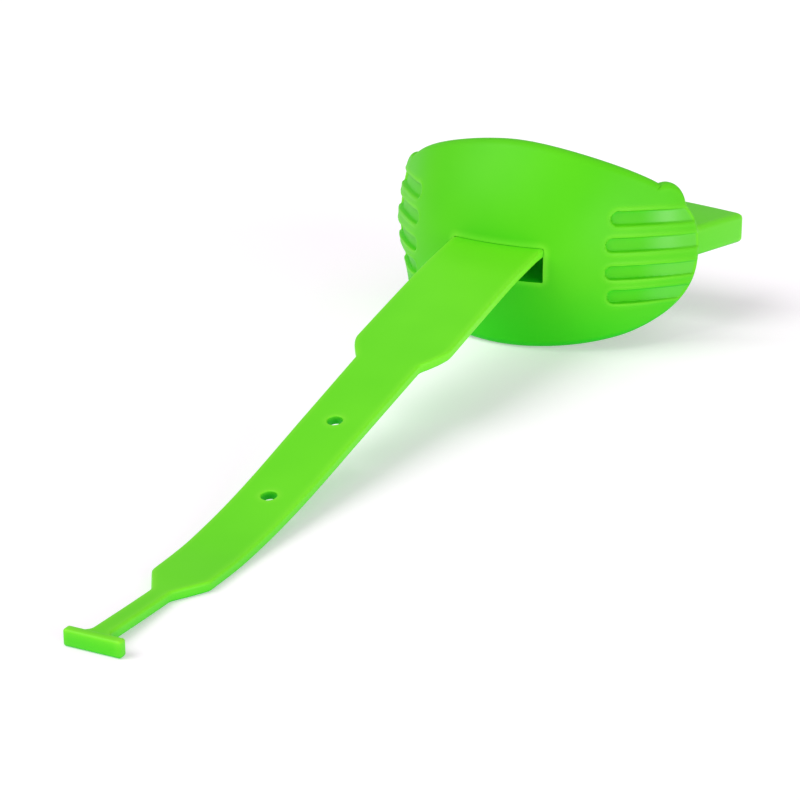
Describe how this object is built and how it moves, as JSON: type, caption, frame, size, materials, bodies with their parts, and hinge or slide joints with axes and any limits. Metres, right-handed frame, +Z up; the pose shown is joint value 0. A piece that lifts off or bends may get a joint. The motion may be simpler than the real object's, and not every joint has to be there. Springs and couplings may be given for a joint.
{
  "type": "silicone strap grip",
  "caption": "Soft silicone grip with a curved ribbed pad, a tapering strap with holes and a T end through the pad's slot, and a pull bar.",
  "frame": {"origin": "centre of the bounding box in X and Y, on the surface that the part stands on", "axes": "+Y from the strap's T end towards the pull bar, along the strap; +X across the pad; +Z up"},
  "size_m": [0.11, 0.3018, 0.0638],
  "materials": {
    "pad_silicone": "satin",
    "strap_silicone": "satin",
    "bar_silicone": "satin"
  },
  "bodies": {
    "pad": {"grip_pad": "pad_silicone"},
    "strap_rear": {"strap_root": "strap_silicone", "pull_bar": "bar_silicone"},
    "strap_wide": {"strap_shoulder": "strap_silicone"},
    "band_upper": {"strap_upper_band": "strap_silicone"},
    "band_lower": {"strap_lower_band": "strap_silicone"},
    "band_end": {"strap_end_band": "strap_silicone"},
    "strap_tip": {"strap_neck": "strap_silicone", "tee_bar": "strap_silicone"}
  },
  "joints": [
    {"name": "strap_slide", "type": "slide", "parent": "pad", "child": "strap_rear", "axis": [0, -1, 0], "range_m": [-0.02, 0.0055]},
    {"name": "wide_flex", "type": "hinge", "parent": "strap_rear", "child": "strap_wide", "pos_m": [0, 0.0549, 0.02994], "axis": [1, 0, 0], "range_deg": [-50, 50], "stiffness_Nm_per_rad": 0.08},
    {"name": "upper_flex", "type": "hinge", "parent": "strap_wide", "child": "band_upper", "pos_m": [0, -0.0051, 0.01802], "axis": [1, 0, 0], "range_deg": [-50, 50], "stiffness_Nm_per_rad": 0.05},
    {"name": "lower_flex", "type": "hinge", "parent": "band_upper", "child": "band_lower", "pos_m": [0, -0.0461, 0.00925], "axis": [1, 0, 0], "range_deg": [-50, 50], "stiffness_Nm_per_rad": 0.04},
    {"name": "end_flex", "type": "hinge", "parent": "band_lower", "child": "band_end", "pos_m": [0, -0.0851, 0.00259], "axis": [1, 0, 0], "range_deg": [-50, 50], "stiffness_Nm_per_rad": 0.03},
    {"name": "tip_flex", "type": "hinge", "parent": "band_end", "child": "strap_tip", "pos_m": [0, -0.1241, 0.00167], "axis": [1, 0, 0], "range_deg": [-50, 50], "stiffness_Nm_per_rad": 0.02}
  ]
}
